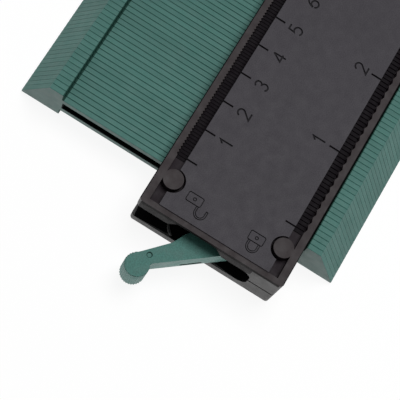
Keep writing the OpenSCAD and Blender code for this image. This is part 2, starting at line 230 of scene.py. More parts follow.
@dataclass(frozen=True)
class PlatedSteel:
    """Zinc-plated steel with fine drawn scratches along X and duller patches."""

    name: str
    colour: tuple
    scratch_mm: float = 0.12
    scratch_depth_mm: float = 0.004
    draw: tuple = (0.04, 1.0, 1.0)
    patch_mm: float = 2.5
    patch: tuple[float, float] = (0.86, 1.08)
    gloss_mm: float = 1.2
    rough: tuple[float, float] = (0.24, 0.42)

    def material(self) -> Material:
        """Builds the node material."""
        n = Nodes(self.name)
        place = n.add("ShaderNodeTexCoord").outputs["Object"]
        drawn = n.add("ShaderNodeMapping", {"Vector": place, "Scale": self.draw}).outputs[0]
        shade = n.span(n.noise(place, self.patch_mm, CLOUD_DETAIL), *self.patch)
        n.feed(n.shader.inputs["Base Color"], n.scaled(self.colour, shade))
        n.gloss(place, self.gloss_mm, self.rough)
        n.shader.inputs["Metallic"].default_value = 1.0
        n.bump(drawn, self.scratch_mm, self.scratch_depth_mm)
        return n.material


COVER_GRAIN = {"grain_mm": 0.34, "grain_depth_mm": 0.014}
PANEL_BLACK = MouldedPlastic("panel_black", rgb(54, 51, 57), grain_mm=0.6, grain_depth_mm=0.02, cloud=0.06,
                             rough=(0.5, 0.58), speck=0.28)
RIM_BLACK = MouldedPlastic("rim_black", rgb(41, 34, 36), **COVER_GRAIN)
# Painted light: a lighter, glossier copy of the black plastic for the covers' side and end faces, standing
# in for the light that falls on them.
SIDE_BLACK_PAINTED_LIGHT = MouldedPlastic("side_black_painted_light", rgb(60, 59, 59), **COVER_GRAIN, specular=0.5)
# Painted shade: a darker copy of the plastic for the near end face above the lever's slot, under the
# overhanging lip.
LIP_BLACK_PAINTED_SHADE = MouldedPlastic("lip_black_painted_shade", rgb(37, 34, 35), **COVER_GRAIN, specular=0.07)
# Painted shade: a near-black copy of the plastic for the top band of the near end face, just under the
# rim's edge.
BROW_BLACK_PAINTED_SHADE = MouldedPlastic("brow_black_painted_shade", rgb(19, 16, 17), **COVER_GRAIN, specular=0.03)
# Painted shade: a darker copy of the plastic for the floors and walls of the two deep channels.
CHANNEL_BLACK_PAINTED_SHADE = MouldedPlastic("channel_black_painted_shade", rgb(36, 29, 34), specular=0.09)
# Painted shade: near-black teeth, for the shade inside the channels.
RACK_BLACK_PAINTED_SHADE = MouldedPlastic("rack_black_painted_shade", rgb(17, 12, 17), specular=0.05)
# Painted shade: near-black for faces inside the body and in hollows where light hardly reaches.
INNER_BLACK_PAINTED_SHADE = MouldedPlastic("inner_black_painted_shade", rgb(13, 12, 14), specular=0.04)
# Painted shade: a darker copy of the plastic for the walls and floors of the engraved figures and padlock
# signs.
ENGRAVED_BLACK_PAINTED_SHADE = MouldedPlastic("engraved_black_painted_shade", rgb(28, 26, 30), specular=0.07)
# Painted shadow: near-black for the walls and far floor halves of the scale marks, and for the chamfers
# along the long edges.
PAINTED_SHADOW_BLACK = MouldedPlastic("painted_shadow_black", rgb(9, 8, 10), specular=0.03)
BLADE_GREEN = MouldedPlastic("blade_green", rgb(70, 117, 109), grain_mm=0.5, grain_depth_mm=0.006,
                             cloud_mm=9.0, cloud=0.05, rough=(0.42, 0.54), specular=0.16,
                             tone_pitch_mm=1.56, tone=0.06)
# Painted sheen: a greyer, glossier copy of the blade green for the flat faces of the blades.
BLADE_FACE_PAINTED_SHEEN = MouldedPlastic("blade_face_green_painted_sheen", rgb(76, 104, 99), grain_mm=0.5, cloud_mm=7.0, cloud=0.10,
                            specular=0.5)
# Painted shade: near-black green for the walls of the long slot through the blades.
BLADE_SLOT_PAINTED_SHADE = MouldedPlastic("blade_slot_green_painted_shade", rgb(10, 18, 16), specular=0.02)
# Painted shadow: dark green for the strip where each head meets its rail.
BLADE_FOOT_PAINTED_SHADOW = MouldedPlastic("blade_foot_green_painted_shadow", rgb(30, 66, 58), specular=0.07)
LEVER_GREEN = MouldedPlastic("lever_green", rgb(72, 120, 112), grain_mm=0.5, cloud_mm=3.0, cloud=0.10,
                             speck=0.2)
# Painted light: a lighter, glossier copy of the lever green for the lever's steep side faces.
LEVER_SIDE_PAINTED_LIGHT = MouldedPlastic("lever_side_green_painted_light", rgb(92, 136, 129), grain_mm=0.4, cloud_mm=6.0, specular=0.6)
# Painted shade: dark green for the walls of the dimple and the edge round the knob's crown.
LEVER_DIMPLE_PAINTED_SHADE = MouldedPlastic("lever_dimple_green_painted_shade", rgb(28, 62, 56), specular=0.1)
STEEL = PlatedSteel("plated_steel", rgb(205, 206, 208))
RUBBER = MouldedPlastic("cushion_rubber", rgb(34, 34, 35), grain_mm=0.2, rough=(0.72, 0.85))


@contextmanager
def opened(mesh: Mesh) -> Iterator[BMesh]:
    """Lends a mesh in its editable form and writes it back afterwards."""
    work = bmesh.new()
    work.from_mesh(mesh)
    yield work
    work.to_mesh(mesh)
    work.free()


def split(work: BMesh, faces: list, place: tuple, normal: tuple) -> None:
    """Cuts some faces along a plane, without moving anything.

    Args:
        work: The mesh in its editable form.
        faces: The faces to cut.
        place: A point of the plane in millimetres.
        normal: Direction of the plane.
    """
    edges = dict.fromkeys(e for f in faces for e in f.edges)
    verts = dict.fromkeys(v for f in faces for v in f.verts)
    bmesh.ops.bisect_plane(work, geom=[*verts, *edges, *faces], plane_co=Vector(place) * MM,
                           plane_no=normal)


def piece(name: str, verts: np.ndarray, faces: list, *finishes: Material,
          zones: list[int] | None = None) -> Object:
    """Puts a surface into the scene, with its faces pointing outwards.

    Args:
        name: Name of the piece.
        verts: Corners in millimetres, in the part's frame.
        faces: Corner numbers of each face.
        *finishes: Materials of the piece.
        zones: Number of the material of each face, where there is more than one.

    Returns:
        The new object, at the origin.
    """
    mesh = bpy.data.meshes.new(name)
    mesh.from_pydata((np.asarray(verts) * MM).tolist(), [], [list(map(int, f)) for f in faces])
    for finish in finishes:
        mesh.materials.append(finish)
    if zones is not None:
        paint(mesh, zones)
    obj = bpy.data.objects.new(name, mesh)
    bpy.context.scene.collection.objects.link(obj)
    with opened(mesh) as work:
        bmesh.ops.recalc_face_normals(work, faces=work.faces)
    return obj


def ride(obj: Object, body: str, slot: Slot, *nodes: str) -> None:
    """Fastens a piece to a body and hides the CAD nodes that it replaces.

    Args:
        obj: The piece.
        body: Name of the body that carries it.
        slot: The record's material slot; not used.
        *nodes: CAD nodes that it replaces.
    """
    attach(obj, body)
    if nodes:
        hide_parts(*nodes)
    LOG.info("%s: %d faces on %s", obj.name, len(obj.data.polygons), body)


def ring_faces(count: int, rings: int, start: int = 0) -> list:
    """Quads that join equal closed rings of corners one after the other.

    Args:
        count: Corners in a ring.
        rings: Number of rings.
        start: Number of the first corner.

    Returns:
        Corner numbers, four to a face.
    """
    k, i = np.meshgrid(np.arange(rings - 1), np.arange(count), indexing="ij")
    j = (i + 1) % count
    quads = np.stack([k * count + i, k * count + j, (k + 1) * count + j, (k + 1) * count + i], axis=-1)
    return (quads.reshape(-1, 4) + start).tolist()


def bar_faces(count: int, rings: int) -> list:
    """Faces of a solid bar: joined rings of corners and a cap at both ends."""
    last = (rings - 1) * count
    return ring_faces(count, rings) + [list(range(count)), list(range(last, last + count))]


def join(parts: list) -> tuple[np.ndarray, list]:
    """Puts several surfaces into one.

    Args:
        parts: Corners and faces of each one, numbered from 0.

    Returns:
        All corners and all faces.
    """
    verts, faces, start = [], [], 0
    for corners, sides in parts:
        verts.append(corners)
        faces += [[start + i for i in side] for side in sides]
        start += len(corners)
    return np.concatenate(verts), faces


def left_normals(path: np.ndarray) -> np.ndarray:
    """Unit normals on the left of every edge of a closed path."""
    ahead = np.roll(path, -1, axis=0) - path
    ahead = ahead / np.linalg.norm(ahead, axis=1, keepdims=True)
    return np.stack([-ahead[:, 1], ahead[:, 0]], axis=1)


def inset(loop: np.ndarray, depth: np.ndarray) -> np.ndarray:
    """Moves every edge of a counter-clockwise loop inwards by its own depth.

    A corner moves by v, where v times the normals of its two edges gives their two depths. Between edges in
    one line it moves along their common normal.

    Args:
        loop: Corners in the plane.
        depth: Distance of each new edge from the old one, in the order of the corners that the edges leave.

    Returns:
        The smaller loop.
    """
    inner = left_normals(loop)
    before = np.roll(inner, 1, axis=0)
    out, back = depth[:, None], np.roll(depth, 1)[:, None]
    same = np.sum(inner * before, axis=1, keepdims=True)
    bent = 1.0 - same ** 2
    straight = bent < 1e-6
    bent = np.where(straight, 1.0, bent)
    mitre = ((back - same * out) * before + (out - same * back) * inner) / bent
    return loop + np.where(straight, out * inner, mitre)


@dataclass
class BladeStack:
    """The sliding blades: slotted plates with a wedge head at both ends and small bevels all round."""

    blade_t: float = 1.5
    rail_half: float = 38.5
    rail_z: float = 3.9
    slot_z: float = 1.5
    slot_web: float = 0.6
    head_flat: float = 4.4
    tip_h: float = 0.8
    foot_w: float = 0.45
    brim_w: float = 0.25
    seam_w: float = 0.13
    seam_d: float = 0.16
    flat_seam_d: float = 0.10
    slope_seam_d: float = 0.05
    slot_seam_d: float = 0.30
    blades_per_node: int = 2

    def outline(self, half_l: float, half_z: float) -> tuple[np.ndarray, np.ndarray]:
        """Outer edge and slot of one blade in Y and Z, about its middle.

        Args:
            half_l: Distance of the tips from the middle.
            half_z: Half the height of a head.

        Returns:
            The outer corners and the slot's corners, both counter-clockwise.
        """
        r = self.rail_half
        near, brim = r - self.foot_w, r + self.brim_w
        right = np.array([[near, -self.rail_z], [r, -self.rail_z], [r, -half_z], [brim, -half_z],
                          [half_l, -half_z], [half_l, self.tip_h - half_z], [r + self.head_flat, half_z],
                          [brim, half_z], [r, half_z], [r, self.rail_z], [near, self.rail_z]])
        left = right[::-1] * (-1.0, 1.0)
        s = r - self.slot_web
        slot = np.array([[-s, -self.slot_z], [s, -self.slot_z], [s, self.slot_z], [-s, self.slot_z]])
        return np.concatenate([right, left]), slot

    def plate(self, x: float, middle: np.ndarray, outer: np.ndarray, slot: np.ndarray):
        """One bevelled blade: rings of its outline at both faces and inside the bevels, and two caps.

        Args:
            x: Lower X face.
            middle: Middle of the blade in Y and Z.
            outer: Outer corners.
            slot: Slot corners.

        Returns:
            Corners, faces and the skin of each face.
        """
        w = self.seam_w
        n, m = len(outer), len(slot)
        flat_edges, slope_edges, shaded_foot = (2, 3, 6, 7), (4, 5), (0, 1, 2, 7, 8, 9)
        place = np.arange(n) % (n // 2)
        seams = np.full(n, self.seam_d)
        seams[np.isin(place, flat_edges)] = self.flat_seam_d
        seams[np.isin(place, slope_edges)] = self.slope_seam_d
        steps = ((x, 1.0), (x + w, 0.0), (x + self.blade_t - w, 0.0), (x + self.blade_t, 1.0))
        verts = []
        for loop, depth in ((outer, seams), (slot, np.full(m, -self.slot_seam_d))):
            for at, share in steps:
                flat = inset(loop, share * depth) + middle
                verts.append(np.column_stack([np.full(len(flat), at), flat]))
        faces = ring_faces(n, len(steps))
        # Edges at the foot of each head, and next to it on the rail, get painted shadow.
        edge = np.where(np.isin(place, shaded_foot), Skin.FOOT.value, Skin.OUTER.value).tolist()
        zones = edge * (len(steps) - 1)
        faces += ring_faces(m, len(steps), n * len(steps))
        # The slot's walls get painted shade.
        zones += [Skin.SLOT.value] * (len(faces) - len(zones))
        half = n // 2
        for ring in (0, len(steps) - 1):
            o = ring * n
            s = n * len(steps) + ring * m
            right = [o + i for i in range(half)] + [s + 2, s + 1]
            left = [o + half + i for i in range(half)] + [s, s + 3]
            faces += [right, left, [o + half - 1, o + half, s + 3, s + 2], [o + n - 1, o, s + 1, s]]
        # The flat faces of each blade get the greyer copy that paints their sheen.
        zones += [Skin.FACE.value] * (len(faces) - len(zones))
        return np.concatenate(verts), faces, zones

    def build(self, *finishes: Material) -> None:
        """Makes a piece for every blade node, in the node's own place, with a finish for each skin."""
        for node in sorted(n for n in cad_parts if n.startswith("blades_")):
            low, high = (np.array(corner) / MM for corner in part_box(node))
            middle = (low + high)[1:] / 2
            half = (high - low)[1:] / 2
            pitch = (high - low)[0] - self.blade_t
            outer, slot = self.outline(*half)
            starts = [low[0] + k * pitch for k in range(self.blades_per_node)]
            plates = [self.plate(x, middle, outer, slot) for x in starts]
            zones = [zone for plate in plates for zone in plate[2]]
            verts, faces = join([plate[:2] for plate in plates])
            obj = piece(node + "_bevelled", verts, faces, *finishes, zones=zones)
            ride(obj, node, Slot.BLADE, node)


@dataclass
class Engraving:
    """Cutters for the figures and the two padlock signs of the ruled panel."""

    top: float
    depth: float = 0.35
    above: float = 0.3
    digit_h: float = 3.8
    digit_step: float = 0.84
    digit_half: float = 0.29
    zero_x: float = -63.5
    cm_y: float = 10.4
    cm_step: float = 10.0
    cm_count: int = 12
    inch_y: float = -10.7
    inch_step: float = 25.4
    inch_count: int = 4
    stroke: float = 0.48
    thin: float = 0.26
    case_w: float = 2.7
    case_h: float = 4.5
    case_r: float = 0.4
    keyhole_r: float = 0.42
    bow_r: float = 1.5
    bow_w: float = 0.5
    bow_leg: float = 1.3
    open_at: tuple = (-71.9, 9.65)
    open_shift: float = 1.6
    closed_at: tuple = (-72.0, -9.75)
    cutters: list = field(default_factory=list)

    def strokes(self, digit: str) -> list[np.ndarray]:
        """Open paths of the pen for one digit, in a box one unit high."""
        if digit in "069":
            loop = self.arc((0.28, 0.29), 0.28, 180, 360, 25)
            tail = self.arc((0.62, 0.32), 0.62, 180, -72, 10)
            six = [loop[1:-1], tail]
            tall = [self.arc((0.28, 0.5), 0.28, 180, 358, 25) * (1.0, 1.7) - (0.0, 0.35)]
            return {"6": six, "9": [(0.56, 1.0) - path for path in six], "0": tall}[digit]
        one = np.array([(0.1, 0.76), (0.34, 1.0), (0.34, 0.0)])
        two = np.concatenate([self.arc((0.28, 0.72), 0.28, 165, -200, 14), [(0.0, 0.0), (0.58, 0.0)]])
        upper = self.arc((0.26, 0.76), 0.24, 150, -230, 12)
        lower = self.arc((0.26, 0.26), 0.26, 80, -230, 14)
        three = np.concatenate([upper, lower])
        four = [np.array([(0.44, 1.0), (0.02, 0.3), (0.6, 0.3)]), np.array([(0.44, 0.95), (0.44, 0.0)])]
        belly = self.arc((0.26, 0.31), 0.31, 118, -255, 16)
        five = np.concatenate([[(0.5, 1.0), (0.1, 1.0), (0.05, 0.54)], belly])
        seven = np.array([(0.0, 1.0), (0.56, 1.0), (0.2, 0.0)])
        eight = [self.arc((0.28, 0.765), 0.235, 90, 358, 20), self.arc((0.28, 0.265), 0.265, 90, 358, 20)]
        single = {"1": [one], "2": [two], "3": [three], "5": [five], "7": [seven]}
        return {**single, "4": four, "8": eight}[digit]

    def figure(self, word: str, x: float, y: float) -> None:
        """Adds the cutters of one number about its middle."""
        for i, digit in enumerate(word):
            left = (i - (len(word) - 1) / 2) * self.digit_step - self.digit_half
            for path in self.strokes(digit):
                self.line((path + (left, -0.5)) * self.digit_h + (x, y), self.stroke, False)

    def line(self, points: np.ndarray, width: float, closed: bool) -> None:
        """Adds the cutter of one engraved line: a square profile carried along a path.

        Args:
            points: Path in the panel's plane.
            width: Width of the line.
            closed: Whether the path ends where it starts.
        """
        path = np.asarray(points, float)
        side = left_normals(path)
        before = np.roll(side, 1, axis=0)
        if not closed:
            side[-1] = before[-1]
            before[0] = side[0]
        mitre = (side + before) / (1.0 + np.sum(side * before, axis=1, keepdims=True))
        half = width / 2
        rows = [(half, -self.depth), (half, self.above), (-half, self.above), (-half, -self.depth)]
        sides = len(rows)
        rings = [np.column_stack([path + w * mitre, np.full(len(path), self.top + z)]) for w, z in rows]
        verts = np.stack(rings, axis=1).reshape(-1, 3)
        faces = bar_faces(sides, len(path))
        if closed:
            last = (len(path) - 1) * sides
            seam = [[last + i, last + (i + 1) % sides, (i + 1) % sides, i] for i in range(sides)]
            faces = ring_faces(sides, len(path)) + seam
        self.cutters.append((verts, faces))

    def arc(self, centre: tuple, radius: float, start: float, sweep: float, count: int = 20) -> np.ndarray:
        """Points along an arc, with angles in degrees."""
        turn = np.radians(start + sweep * np.linspace(0.0, 1.0, count))
        return np.array(centre) + radius * np.column_stack([np.cos(turn), np.sin(turn)])

    def case(self, x: float, y: float) -> None:
        """The case of a padlock about its middle: a rectangle with round corners and a keyhole."""
        r = self.case_r
        w, h = self.case_w / 2 - r, self.case_h / 2 - r
        corners = ((w, h, 0), (-w, h, 90), (-w, -h, 180), (w, -h, 270))
        outline = np.concatenate([self.arc((x + u, y + v), r, turn, 90, 6) for u, v, turn in corners])
        self.line(outline, self.thin, True)
        self.line(self.arc((x, y), self.keyhole_r, 0, 360, 14)[:-1], self.thin, True)

    def bow(self, x: float, y: float) -> None:
        """The bow of a padlock, open towards the case: the outline of a bar bent round half a ring.

        Args:
            x: Where the legs end.
            y: Middle of the first leg.
        """
        r, w = self.bow_r, self.bow_w / 2
        centre = (x - self.bow_leg, y - r)
        outer, inner = self.arc(centre, r + w, 90, 180), self.arc(centre, r - w, 270, -180)
        path = [[(x, y + w)], outer, [(x, y - 2 * r - w), (x, y - 2 * r + w)], inner, [(x, y - w)]]
        self.line(np.concatenate(path), self.thin, True)

    def cutter(self, finish: Material) -> Object:
        """Joins all figures and signs into one cutting piece.

        The open padlock's bow hangs from one corner of its case, and the closed one's stands on its case.

        Args:
            finish: Finish of the cut faces, a darker one that paints shade into the engraved grooves.

        Returns:
            The cutter object.
        """
        scales = ((self.cm_count, self.cm_step, self.cm_y), (self.inch_count, self.inch_step, self.inch_y))
        for count, step, y in scales:
            for i in range(1, count + 1):
                self.figure(str(i), self.zero_x + step * i, y)
        for (x, y), leg in ((self.open_at, -self.open_shift), (self.closed_at, self.bow_r)):
            self.case(x, y)
            self.bow(x - self.case_w / 2, y + leg)
        return piece("engraving_cutter", *join(self.cutters), finish)


def clean_copy(node: str, name: str, *finishes: Material) -> Object:
    """Copies a CAD node's mesh and joins its loose triangles.

    Args:
        node: Name of the CAD node.
        name: Name of the copy.
        *finishes: Its materials.

    Returns:
        The copy.
    """
    work = bmesh.new()
    work.from_mesh(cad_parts[node].data)
    bmesh.ops.remove_doubles(work, verts=work.verts, dist=WELD_MM * MM)
    work.verts.index_update()
    verts = np.array([v.co for v in work.verts]) / MM
    faces = [[v.index for v in f.verts] for f in work.faces]
    work.free()
    return piece(name, verts, faces, *finishes)


def smooth_by_angle(mesh: Mesh, degrees: float) -> None:
    """Shades a mesh smooth, with edges over the angle kept sharp."""
    mesh.polygons.foreach_set("use_smooth", np.ones(len(mesh.polygons), bool))
    mesh.set_sharp_from_angle(angle=math.radians(degrees))


def apply_modifiers(obj: Object) -> None:
    """Bakes an object's modifiers into its own mesh."""
    graph = bpy.context.evaluated_depsgraph_get()
    mesh = bpy.data.meshes.new_from_object(obj.evaluated_get(graph), depsgraph=graph)
    obj.modifiers.clear()
    obj.data = mesh


def carve(obj: Object, cutter: Object, material_mode: str = "INDEX") -> None:
    """Cuts one piece out of another and removes the cutter.

    Args:
        obj: The piece that is cut.
        cutter: What is taken out of it.
        material_mode: Where the cut faces get their material from.
    """
    cut = obj.modifiers.new("carve", "BOOLEAN")
    cut.object = cutter
    cut.operation = "DIFFERENCE"
    cut.solver = "EXACT"
    cut.use_self = True
    cut.material_mode = material_mode
    bpy.context.view_layer.update()
    apply_modifiers(obj)
    bpy.data.objects.remove(cutter)


def paint(mesh: Mesh, numbers: np.ndarray) -> None:
    """Gives every face the material of its number."""
    mesh.polygons.foreach_set("material_index", np.asarray(numbers, np.int32))


def face_centres(mesh: Mesh) -> np.ndarray:
    """Middles of a mesh's faces in millimetres."""
    middle = np.zeros(len(mesh.polygons) * 3)
    mesh.polygons.foreach_get("center", middle)
    return middle.reshape(-1, 3) / MM


def face_normals(mesh: Mesh) -> np.ndarray:
    """Directions of a mesh's faces."""
    normal = np.zeros(len(mesh.polygons) * 3)
    mesh.polygons.foreach_get("normal", normal)
    return normal.reshape(-1, 3)


@dataclass
class LockLever:
    """The cam lever: broken edges, smoother sides in a lighter copy of the green that paints light, a slit
    in one side painted with shade, and a dimple in the top with painted shade on its walls.
    """

    edge: float = 0.22
    ridge: float = 0.1
    crown_w: float = 0.07
    weld: float = 0.02
    sharp: float = 50.0
    flat_deg: float = 0.5
    smooth: float = 40.0
    steep: float = 0.5
    upright: float = 0.9
    level: float = 0.98
    knob: tuple = (24.6, 0.0)
    knob_r: float = 3.5
    knob_reach: float = 3.8
    crown_in: float = 2.9
    crown_z: float = 11.8
    rim_z: float = 12.05
    flute_mid: float = 7.5
    flute_half: float = 108.0
    flute_d: float = 0.4
    flute_keep: float = 0.55
    cam_end: float = 8.0
    dimple: tuple = (20.5, -1.6)
    dimple_r: float = 1.3
    dimple_z: float = 11.1
    dimple_keep: float = 0.7
    pivot: tuple = (-75.48, -2.7)
    rest_deg: float = 138.4
    slit_from: tuple = (6.0, -4.0, 6.05)
    slit_to: tuple = (12.5, 2.0, 7.35)
    slit_over: float = 0.2

    @staticmethod
    def near(points: np.ndarray, centre: tuple, reach: float) -> np.ndarray:
        """Which points lie within a reach of a centre, seen from above."""
        return np.linalg.norm(points[:, :2] - centre, axis=1) < reach

    def along(self, points: np.ndarray) -> np.ndarray:
        """Turns points into the lever's own directions: along the arm, across it, and up."""
        turn = math.radians(self.rest_deg)
        x, y = (points[:, :2] - self.pivot).T
        across = y * math.cos(turn) - x * math.sin(turn)
        return np.column_stack([x * math.cos(turn) + y * math.sin(turn), across, points[:, 2]])

    def soften(self, work: BMesh) -> None:
        """Makes the knob's flutes shallower and the dimple smaller, within the lever's own outline."""
        points = self.along(np.array([v.co for v in work.verts]) / MM)
        out = points[:, :2] - self.knob
        away = np.maximum(np.linalg.norm(out, axis=1), self.weld)
        turn = np.degrees(np.arctan2(out[:, 1], out[:, 0]))
        depth = self.knob_r - away
        fluted = (np.abs(turn - self.flute_mid) < self.flute_half) & (np.abs(depth) < self.flute_d)
        drawn = np.where(fluted, (self.knob_r - depth * self.flute_keep) / away, 1.0)
        flat = out * drawn[:, None] + self.knob
        hole = self.near(flat, self.dimple, self.dimple_r) & (points[:, 2] > self.dimple_z)
        flat = np.where(hole[:, None], (flat - self.dimple) * self.dimple_keep + self.dimple, flat)
        turn = math.radians(self.rest_deg)
        rest = np.array([[math.cos(turn), math.sin(turn)], [-math.sin(turn), math.cos(turn)]])
        for vert, place in zip(work.verts, (flat @ rest + self.pivot) * MM):
            vert.co.xy = place

    def sharp_edges(self, work: BMesh) -> tuple[list, np.ndarray]:
        """The lever's sharp edges, and the middle of each in the lever's own directions."""
        limit = math.radians(self.sharp)
        edges = [e for e in work.edges if len(e.link_faces) == 2 and e.calc_face_angle() > limit]
        return edges, self.along(np.array([(e.verts[0].co + e.verts[1].co) / 2 for e in edges]) / MM)

    @staticmethod
    def round_off(work: BMesh, edges: list, keep: np.ndarray, width: float) -> None:
        """Rounds the kept ones of some edges by a width in millimetres."""
        chosen = [e for e, ok in zip(edges, keep) if ok]
        bmesh.ops.bevel(work, geom=chosen, offset=width * MM, offset_type="OFFSET", segments=2, profile=0.5,
                        affect="EDGES", clamp_overlap=False)

    def break_edges(self, mesh: Mesh) -> None:
        """Rounds the knob's ridges and crown, the arm's edges and the dimple's rim."""
        with opened(mesh) as work:
            limit = math.radians(self.flat_deg)
            bmesh.ops.dissolve_limit(work, angle_limit=limit, verts=work.verts, edges=work.edges)
            self.soften(work)
            edges, middle = self.sharp_edges(work)
            lean = np.array([abs((e.verts[0].co - e.verts[1].co).normalized().z) for e in edges])
            ridge = self.near(middle, self.knob, self.knob_reach) & (lean > self.upright)
            self.round_off(work, edges, ridge, self.ridge)
            edges, middle = self.sharp_edges(work)
            z = middle[:, 2]
            knob = self.near(middle, self.knob, self.knob_reach)
            dimple = self.near(middle, self.dimple, self.dimple_r)
            slit = (z > self.slit_from[2] - self.slit_over) & (z < self.slit_to[2] + self.slit_over)
            arm = ~knob & ~slit & ~dimple & (middle[:, 0] > self.cam_end)
            self.round_off(work, edges, arm | (dimple & (z > self.rim_z)), self.edge)
            edges, middle = self.sharp_edges(work)
            crown = self.near(middle, self.knob, self.knob_reach) & (middle[:, 2] > self.rim_z)
            self.round_off(work, edges, crown & ~self.near(middle, self.knob, self.crown_in), self.crown_w)
            bmesh.ops.remove_doubles(work, verts=work.verts, dist=self.weld * MM)
            bmesh.ops.dissolve_degenerate(work, edges=work.edges, dist=self.weld * MM)

    def build(self, *finishes: Material) -> None:
        """Makes the lever with a finish for each skin."""
        obj = clean_copy("lock_lever", "lock_lever_rounded", *finishes)
        self.break_edges(obj.data)
        smooth_by_angle(obj.data, self.smooth)
        obj.modifiers.new("flat_faces", "WEIGHTED_NORMAL").keep_sharp = True
        bpy.context.view_layer.update()
        apply_modifiers(obj)
        middle = self.along(face_centres(obj.data))
        upright = np.abs(face_normals(obj.data)[:, 2])
        # Steep faces get the lighter copy that paints light on the lever's sides. The rest keep the lever
        # green.
        skin = np.where(upright < self.steep, LeverSkin.SIDE.value, LeverSkin.TOP.value)
        slit = np.all((middle > self.slit_from) & (middle < self.slit_to), axis=1)
        # The slit's faces get painted shade.
        skin[slit] = LeverSkin.SLIT.value
        # Painted shade on the dimple's walls and the crown's edge.
        dimple = self.near(middle, self.dimple, self.dimple_r) & (middle[:, 2] > self.dimple_z)
        crown = self.near(middle, self.knob, self.knob_reach) & (middle[:, 2] > self.crown_z)
        skin[(dimple | crown) & (upright < self.level)] = LeverSkin.DIMPLE.value
        paint(obj.data, skin)
        ride(obj, Body.LEVER.value, Slot.LEVER, "lock_lever")


